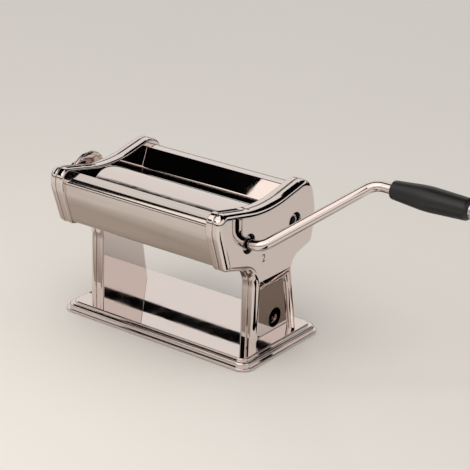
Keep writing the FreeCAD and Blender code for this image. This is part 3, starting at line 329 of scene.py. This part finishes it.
def moulded_plastic(name, shade, grain, rough_range, depth, soften):
    """Injection-moulded plastic: a fine even grain from the tool breaks up the highlight, and the colour
    drifts very slightly. Grain and depth are that grain's size and height, and soften is the share of light
    that sinks in."""
    material, tree, shader, place = finish(name)
    drift_size, sink = 22 * MM, 1.5 * MM
    pits = noise(tree, place, grain, detail=2.0)
    drift = noise(tree, place, drift_size, detail=2.0)
    feed(tree, shader, {"Base Color": blend(tree, drift, dimmed(shade, 0.86), shade),
                        "Roughness": spread(tree, pits, *rough_range),
                        "Normal": relief(tree, pits, strength=0.5, depth=depth), "IOR": 1.5,
                        "Subsurface Weight": soften, "Subsurface Scale": sink})
    return material


def figure_ink(settings):
    """Dark paint wiped into stamped figures. It is matt and a little uneven."""
    material, tree, shader, place = finish("figure_paint")
    wear = noise(tree, place, settings.ink_wear, detail=2.0)
    feed(tree, shader, {"Base Color": blend(tree, wear, settings.ink, dimmed(settings.ink, 2.2)),
                        "Roughness": 0.55})
    return material


def painted_board(studio):
    """Painted board of the floor: matt, with a very faint cloudiness."""
    material, tree, shader, place = finish("painted_board")
    cloud = noise(tree, place, size=350 * MM, detail=2.0)
    feed(tree, shader, {"Base Color": blend(tree, cloud, dimmed(studio.floor, 0.97), studio.floor),
                        "Roughness": 0.8})
    return material


def matt_cloth(name, near, far):
    """Cloth of a card, which doesn't shine. Black gives chrome its dark bands, and the greys are painted
    shade of the floor that leg and panel mirror. The colour goes from near to far in front of the base."""
    material, tree, shader, place = finish(name)
    forward = add(tree, "ShaderNodeSeparateXYZ", {"Vector": place}).outputs["Y"]
    share = spread(tree, forward, 0.0, 1.0, *FRONT_SHADE_SPAN)
    feed(tree, shader, {"Base Color": blend(tree, share, near, far), "Roughness": 1.0,
                        "Specular IOR Level": 0.0})
    return material


def dress(material, *nodes):
    """Give solids a finish through their own material slots."""
    for name in nodes:
        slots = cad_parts[name].material_slots
        if not slots:
            raise RuntimeError(f"{name} has no material slot")
        for slot in slots:
            slot.material = material


# Surfaces

def grid_faces(rows, columns):
    """Quads of a grid of points, row by row, whose last column joins the first. Where rows run to the right
    and columns run up, the quads face the eye."""
    across = np.arange(columns)
    down = np.arange(rows - 1)[:, None]
    after = (across + 1) % columns
    quads = np.stack([down * columns + across, (down + 1) * columns + across,
                      (down + 1) * columns + after, down * columns + after], axis=-1)
    return quads.reshape(-1, 4)


def link(name, mesh, material):
    """Make a mesh an object at the origin, with one material."""
    mesh.materials.append(material)
    piece = bpy.data.objects.new(name, mesh)
    bpy.context.scene.collection.objects.link(piece)
    return piece


def new_piece(name, points, faces, material, smooth=True):
    """Put arrays of points and faces into a mesh whose object sits at the origin."""
    mesh = bpy.data.meshes.new(name)
    mesh.from_pydata(points.reshape(-1, 3).tolist(), [], faces.tolist())
    mesh.polygons.foreach_set("use_smooth", np.full(len(mesh.polygons), smooth))
    mesh.update()
    return link(name, mesh, material)


def attach(piece, body):
    """Let a piece ride on a body."""
    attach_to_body(piece, body)
    return piece


def smooth_step(x):
    """0 below 0, 1 above 1 and a smooth cubic between."""
    x = np.clip(x, 0, 1)
    return x * x * (3 - 2 * x)


def screw_points(radius, height, shank_radius, shank_length, settings):
    """A pan-head screw about +Z with its seat at z = 0: a profile turned about the axis, which runs from the
    crown's middle over its edge, back under the head and down the shank. A cross is pressed into the crown:
    the depth is full where the nearer arm's middle line is close, and fades to nothing at the arm's end."""
    round_steps, edge_steps, crown_steps = 96, 12, 30
    core, fall, corner, tip = 0.02, 0.06 * height, 0.45 * height, 0.4 * shank_radius
    arm_end, arm_fade, wall = 0.66 * radius, 0.3 * radius, 0.18 * settings.recess_width
    turn = np.linspace(0, 2 * np.pi, round_steps, endpoint=False)
    bend = np.linspace(0, np.pi / 2, edge_steps)[1:]
    flat = radius - corner
    crown_r = np.linspace(core * radius, flat, crown_steps)
    crown_z = height - fall * (crown_r / flat) ** 2
    edge_r = flat + corner * np.sin(bend)
    edge_z = height - fall - corner + corner * np.cos(bend)
    under_r = np.array([radius, 0.98 * radius, shank_radius, shank_radius, 0.85 * shank_radius,
                        core * shank_radius])
    under_z = np.array([fall, 0, 0, tip - shank_length, -shank_length, -shank_length])
    reach = np.concatenate([crown_r, edge_r, under_r])[:, None]
    level = np.concatenate([crown_z, edge_z, under_z])[:, None]
    across, along = reach * np.cos(turn), reach * np.sin(turn)
    near, far = np.minimum(abs(across), abs(along)), np.maximum(abs(across), abs(along))
    slot = smooth_step((settings.recess_width / 2 - near) / wall + 0.5)
    fade = smooth_step((arm_end - far) / arm_fade)
    crown = (np.arange(len(reach)) < len(crown_r))[:, None]
    rise = level - settings.recess_depth * slot * fade * crown
    return np.stack([across, along, rise], axis=-1)


def pointer_points(settings):
    """A rounded triangle in the YZ plane, given in polar form: its radius swells at its three corners. It
    stands out to -X, flat on top, and falls to just behind the plane at its edge by the sixth power of the
    distance from its middle."""
    round_steps, rings, core = 72, 14, 0.02
    blunt, squash, stand, sink, power = 0.06, 0.8, 5 * settings.proud, 0.2 * settings.proud, 6
    turn = np.linspace(0, 2 * np.pi, round_steps, endpoint=False)
    share = np.linspace(core, 1, rings)[:, None]
    third = (turn + np.pi / 3) % (2 * np.pi / 3) - np.pi / 3
    edge = 0.5 / (np.cos(np.pi / 3 - abs(third)) + blunt)
    y = share * edge * np.cos(turn) * settings.pointer
    z = share * edge * np.sin(turn) * settings.pointer * squash
    x = -stand * (1 - share ** power) * np.ones_like(turn) + sink * share ** power
    return np.stack([x, y, z], axis=-1)


def placed(points, origin, x_axis, y_axis, z_axis):
    """Carry points from local axes to an origin and three directions, in metres."""
    return points @ np.array([x_axis, y_axis, z_axis], float) + np.array(origin, float)


def set_of_screws(name, one, places, axes, material):
    """One piece with the same screw at each place."""
    points = np.stack([placed(one, at, *axes) for at in places])
    first = np.arange(len(places)) * one.shape[0] * one.shape[1]
    faces = grid_faces(*one.shape[:2]) + first[:, None, None]
    return new_piece(name, points, faces.reshape(-1, 4), material)


def figure_mesh(text, height, origin, reading, upright, facing, proud):
    """A flat figure as a mesh: its outline filled and given a thickness, then set on a surface by its
    origin, its reading direction, its upright and the direction it faces."""
    letters = bpy.data.curves.new("figure", "FONT")
    letters.body = text
    letters.size = height / FIGURE_SHARE
    letters.align_x = letters.align_y = "CENTER"
    letters.extrude = proud
    holder = bpy.data.objects.new("figure", letters)
    mesh = bpy.data.meshes.new_from_object(holder)
    bpy.data.objects.remove(holder)
    place = Matrix((reading, upright, facing)).transposed().to_4x4()
    place.translation = origin
    mesh.transform(place)
    return mesh


def joined_figures(name, meshes, material):
    """Gather figures into one piece."""
    gathered = bmesh.new()
    for mesh in meshes:
        gathered.from_mesh(mesh)
    whole = bpy.data.meshes.new(name)
    gathered.to_mesh(whole)
    gathered.free()
    return link(name, whole, material)


def flat_piece(name, corners, material):
    """A flat sheet with four corners."""
    return new_piece(name, np.array(corners, float), np.array([[0, 1, 2, 3]]), material, False)


def card_corners(centre, facing, wide, high, turn):
    """Corners of a card: its middle, and half its width and half its height to either side of it. The width
    is level, and along X on a card that lies flat, before the turn."""
    back = -Vector(facing).normalized()
    lies_flat = abs(back.z) > 0.9
    side = Vector((1, 0, 0)) if lies_flat else Vector((0, 0, 1)).cross(back).normalized()
    side = Matrix.Rotation(np.radians(turn), 3, Vector(facing)) @ side
    rise = back.cross(side)
    return [Vector(centre) + 0.5 * (u * wide * side + v * high * rise) for u, v in SQUARE]


# Operators

class PASTA_OT_chrome(bpy.types.Operator):
    """Plate the pressings, the knob and the crank with chrome"""
    bl_idname = "pasta.chrome"
    bl_label = "Chrome Pressings"

    def execute(self, context):
        dress(polished_chrome(context.scene.pasta_finish), *CHROMED)
        return {"FINISHED"}


class PASTA_OT_front_panel(bpy.types.Operator):
    """Give the front panel its brushed stainless steel"""
    bl_idname = "pasta.front_panel"
    bl_label = "Front Panel"

    def execute(self, context):
        dress(brushed_stainless(context.scene.pasta_finish), "front_panel")
        return {"FINISHED"}


class PASTA_OT_rollers(bpy.types.Operator):
    """Give the rollers and the cutters their turned finish"""
    bl_idname = "pasta.rollers"
    bl_label = "Rollers and Cutters"

    def execute(self, context):
        dress(turned_aluminium(context.scene.pasta_finish), *SHAFTS)
        return {"FINISHED"}


class PASTA_OT_gears(bpy.types.Operator):
    """Give the gears their sintered steel"""
    bl_idname = "pasta.gears"
    bl_label = "Gears"

    def execute(self, context):
        dress(sintered_steel(context.scene.pasta_finish), *(shaft + "_gear" for shaft in SHAFTS))
        return {"FINISHED"}


class PASTA_OT_plastics(bpy.types.Operator):
    """Give bushes, combs, feet and grip their moulded materials"""
    bl_idname = "pasta.plastics"
    bl_label = "Plastics and Rubber"

    def execute(self, context):
        tones = context.scene.pasta_finish
        # Name, colour, grain, range of roughness, depth of the grain, share of light that sinks in, solids.
        moulded = (("natural_nylon", tones.nylon, 0.8 * MM, (0.36, 0.5), 0.03 * MM, 0.15, BUSHED),
                   ("acetal_resin", tones.comb, 1.0 * MM, (0.3, 0.44), 0.02 * MM, 0.1, STRIPPERS),
                   ("black_rubber", tones.rubber, 0.6 * MM, (0.72, 0.9), 0.06 * MM, 0.0, ("base_feet",)),
                   ("black_abs", tones.grip, tones.grip_grain, (0.3, 0.46), 0.05 * MM, 0.0, ("crank_grip",)))
        for *look, nodes in moulded:
            dress(moulded_plastic(*look), *nodes)
        return {"FINISHED"}


class PASTA_OT_screws(bpy.types.Operator):
    """Plate the fixings with zinc and press crosses into the screw heads that show"""
    bl_idname = "pasta.screws"
    bl_label = "Fixings and Screw Heads"

    def execute(self, context):
        zinc = zinc_plated_steel(context.scene.pasta_finish)
        dress(zinc, *ZINC_PLATED)
        sizes = context.scene.pasta_detail
        low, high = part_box("knob_screw")
        middle, seat = (low + high) / 2, low.x + sizes.knob_head_height
        one = screw_points(sizes.knob_head, sizes.knob_head_height, sizes.shank, high.x - seat, sizes)
        places = [(seat, middle.y, middle.z)]
        knob_screw = set_of_screws("knob_screw_head", one, places, FACING_LEFT, zinc)
        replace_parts(attach(knob_screw, "adjuster"), "knob_screw")
        low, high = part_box("leg_screws")
        head, seat = sizes.leg_head, low.z + sizes.leg_head_height
        one = screw_points(head, sizes.leg_head_height, sizes.shank, high.z - seat, sizes)
        places = [(x, y, seat) for x in (low.x + head, high.x - head) for y in (low.y + head, high.y - head)]
        leg_screws = set_of_screws("leg_screw_heads", one, places, FACING_DOWN, zinc)
        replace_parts(attach(leg_screws, "frame"), "leg_screws")
        return {"FINISHED"}


class PASTA_OT_figures(bpy.types.Operator):
    """Stamp the figure on the right cover and the dial figures on the knob"""
    bl_idname = "pasta.figures"
    bl_label = "Figures and Dial"

    def execute(self, context):
        sizes = context.scene.pasta_detail
        ink = figure_ink(context.scene.pasta_finish)
        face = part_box("right_side_cover")[1].x
        figure = figure_mesh("2", sizes.cover_figure, (face, sizes.cover_figure_y, sizes.cover_figure_z),
                             (0, 1, 0), (0, 0, 1), (1, 0, 0), sizes.proud)
        attach(joined_figures("cover_figure", [figure], ink), "frame")
        low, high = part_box("adjuster_knob")
        middle = (low + high) / 2
        # The dial's front face is a flat cone that rises from its rim to the grip.
        fall = np.arctan2(sizes.dial_rise, sizes.dial_rim - sizes.dial_grip)
        depth = high.x - sizes.dial_depth - (sizes.dial_rim - sizes.dial_radius) * np.tan(fall)
        inward = np.array([1, 0, 0])
        meshes = []
        # At rest the first figure stands at the front, where the pointer is.
        for count, step in enumerate(np.pi + np.linspace(0, sizes.dial_travel, sizes.dial_count), start=1):
            out = np.array([0, np.cos(step), np.sin(step)])
            upright = np.cos(fall) * out + np.sin(fall) * inward
            facing = np.sin(fall) * out - np.cos(fall) * inward
            origin = np.array([depth, middle.y, middle.z]) + sizes.dial_radius * out
            meshes.append(figure_mesh(str(count), sizes.dial_figure, Vector(origin),
                                      Vector(np.cross(upright, facing)), Vector(upright), Vector(facing),
                                      sizes.proud))
        attach(joined_figures("dial_figures", meshes, ink), "adjuster")
        return {"FINISHED"}


class PASTA_OT_pointer(bpy.types.Operator):
    """Set the dial's pointer on the left cover, in front of the knob"""
    bl_idname = "pasta.pointer"
    bl_label = "Dial Pointer"

    def execute(self, context):
        sizes = context.scene.pasta_detail
        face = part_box("left_side_cover")[0].x
        low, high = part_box("adjuster_knob")
        clear = 0.75 * sizes.pointer  # from the knob's rim to the pointer's middle
        points = pointer_points(sizes) + np.array((face, low.y - clear, (low.z + high.z) / 2))
        faces = grid_faces(*points.shape[:2])[:, ::-1]
        piece = new_piece("dial_pointer", points, faces, figure_ink(context.scene.pasta_finish))
        attach(piece, "frame")
        return {"FINISHED"}


class PASTA_OT_stage(bpy.types.Operator):
    """Set the floor, the soft light, the cards that chrome mirrors, and the camera"""
    bl_idname = "pasta.stage"
    bl_label = "Studio"

    def execute(self, context):
        scene, studio = context.scene, context.scene.pasta_studio
        scene.view_settings.view_transform = "Standard"
        edges = [(u * FLOOR_REACH, v * FLOOR_REACH, 0) for u, v in SQUARE]
        flat_piece("floor", edges, painted_board(studio))
        cloths = {"black_cloth": matt_cloth("black_cloth", studio.flag, studio.flag),
                  # Painted shadow of the floor beside the right leg
                  "leg_shadow_cloth": matt_cloth("leg_shadow_cloth", studio.screen, studio.screen),
                  # Painted shade of the floor in front of the base, darker near it
                  "front_shade_cloth": matt_cloth("front_shade_cloth", studio.mat, studio.mat_far)}
        for name, (cloth, *place) in CARDS.items():
            card = flat_piece(name, card_corners(*place), cloths[cloth])
            card.visible_camera = card.visible_diffuse = False
            card.visible_shadow = card.visible_transmission = False
        self.light(scene, studio)
        self.aim(scene, studio)
        return {"FINISHED"}

    def light(self, scene, studio):
        """Even light from all round, and one large soft box above the front."""
        scene.world = bpy.data.worlds.new("room")
        scene.world.use_nodes = True
        tree = scene.world.node_tree
        feed(tree, tree.nodes["Background"], {"Color": (*studio.room, 1), "Strength": studio.sky})
        lamp = bpy.data.lights.new("soft_box", "AREA")
        lamp.shape, lamp.size, lamp.size_y = "RECTANGLE", studio.key_size, studio.key_size
        lamp.energy, lamp.color = studio.key, studio.glow
        holder = bpy.data.objects.new("soft_box", lamp)
        holder.location = studio.key_place
        holder.rotation_euler.z = studio.key_turn
        scene.collection.objects.link(holder)

    def aim(self, scene, studio):
        """Camera on a line through the target, given by its azimuth, elevation, roll and distance."""
        turn, tilt, roll = studio.azimuth, studio.elevation, studio.roll
        back = Vector((np.sin(turn) * np.cos(tilt), -np.cos(turn) * np.cos(tilt), np.sin(tilt)))
        level = Vector((np.cos(turn), np.sin(turn), 0))
        right = np.cos(roll) * level + np.sin(roll) * back.cross(level)
        lens = bpy.data.cameras.new("camera")
        lens.lens, lens.sensor_width, lens.sensor_fit = studio.lens, SENSOR_WIDTH, "HORIZONTAL"
        camera = bpy.data.objects.new("camera", lens)
        place = Matrix((right, back.cross(right), back)).transposed().to_4x4()
        place.translation = Vector(studio.target) + studio.distance * back
        camera.matrix_world = place
        scene.collection.objects.link(camera)
        scene.camera = camera


OPERATORS = (PASTA_OT_chrome, PASTA_OT_front_panel, PASTA_OT_rollers, PASTA_OT_gears, PASTA_OT_plastics,
             PASTA_OT_screws, PASTA_OT_figures, PASTA_OT_pointer, PASTA_OT_stage)
SETTINGS = {"pasta_finish": FinishSettings, "pasta_detail": DetailSettings, "pasta_studio": StudioSettings}


class PASTA_PT_panel(bpy.types.Panel):
    """Lists the machine's finishes and pieces"""
    bl_idname = "PASTA_PT_panel"
    bl_label = "Pasta Roller"
    bl_space_type = "VIEW_3D"
    bl_region_type = "UI"
    bl_category = "Pasta Roller"

    def draw(self, context):
        for operator in OPERATORS:
            self.layout.operator(operator.bl_idname)
        for name, group in SETTINGS.items():
            box = self.layout.box()
            for setting in group.__annotations__:
                box.prop(getattr(context.scene, name), setting)


def register():
    for group in SETTINGS.values():
        bpy.utils.register_class(group)
    for kind in (*OPERATORS, PASTA_PT_panel):
        bpy.utils.register_class(kind)
    for name, group in SETTINGS.items():
        setattr(bpy.types.Scene, name, PointerProperty(type=group))


def unregister():
    for name in SETTINGS:
        delattr(bpy.types.Scene, name)
    for kind in (PASTA_PT_panel, *reversed(OPERATORS), *SETTINGS.values()):
        bpy.utils.unregister_class(kind)


def main():
    """Register and run every operator in order."""
    register()
    for operator in OPERATORS:
        group, name = operator.bl_idname.split(".")
        getattr(getattr(bpy.ops, group), name)()


if __name__ == "__main__":
    main()
